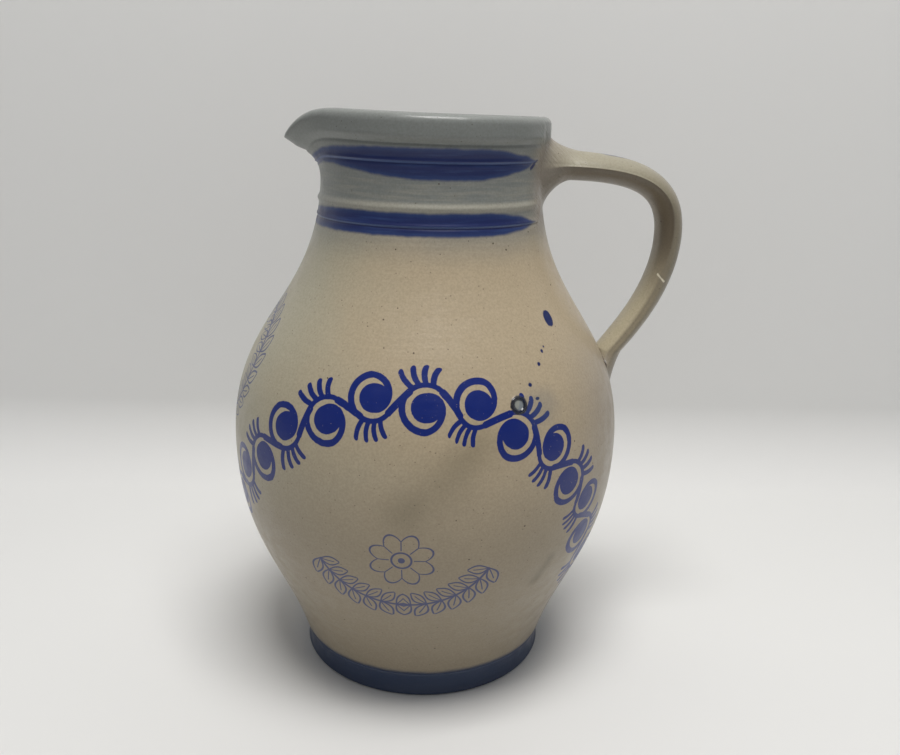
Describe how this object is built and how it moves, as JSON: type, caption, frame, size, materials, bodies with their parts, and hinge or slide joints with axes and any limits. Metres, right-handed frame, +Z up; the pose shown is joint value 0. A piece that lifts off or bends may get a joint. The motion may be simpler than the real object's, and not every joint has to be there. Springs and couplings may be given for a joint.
{
  "type": "stoneware jug",
  "caption": "Salt-glazed stoneware jug with a pear-shaped body, turned neck and collar, pulled pouring lip and strap handle, painted in cobalt blue.",
  "frame": {"origin": "centre of the flat underside of the foot", "axes": "+Z up out of the mouth, +X towards the handle, -X towards the pouring lip"},
  "size_m": [0.2035, 0.1758, 0.2521],
  "materials": {
    "salt_glazed_stoneware": "grey to tan salt glaze with fine orange peel, iron specks and cobalt blue bands and ornament"
  },
  "bodies": {
    "root": {"jug": "salt_glazed_stoneware"}
  },
  "joints": []
}
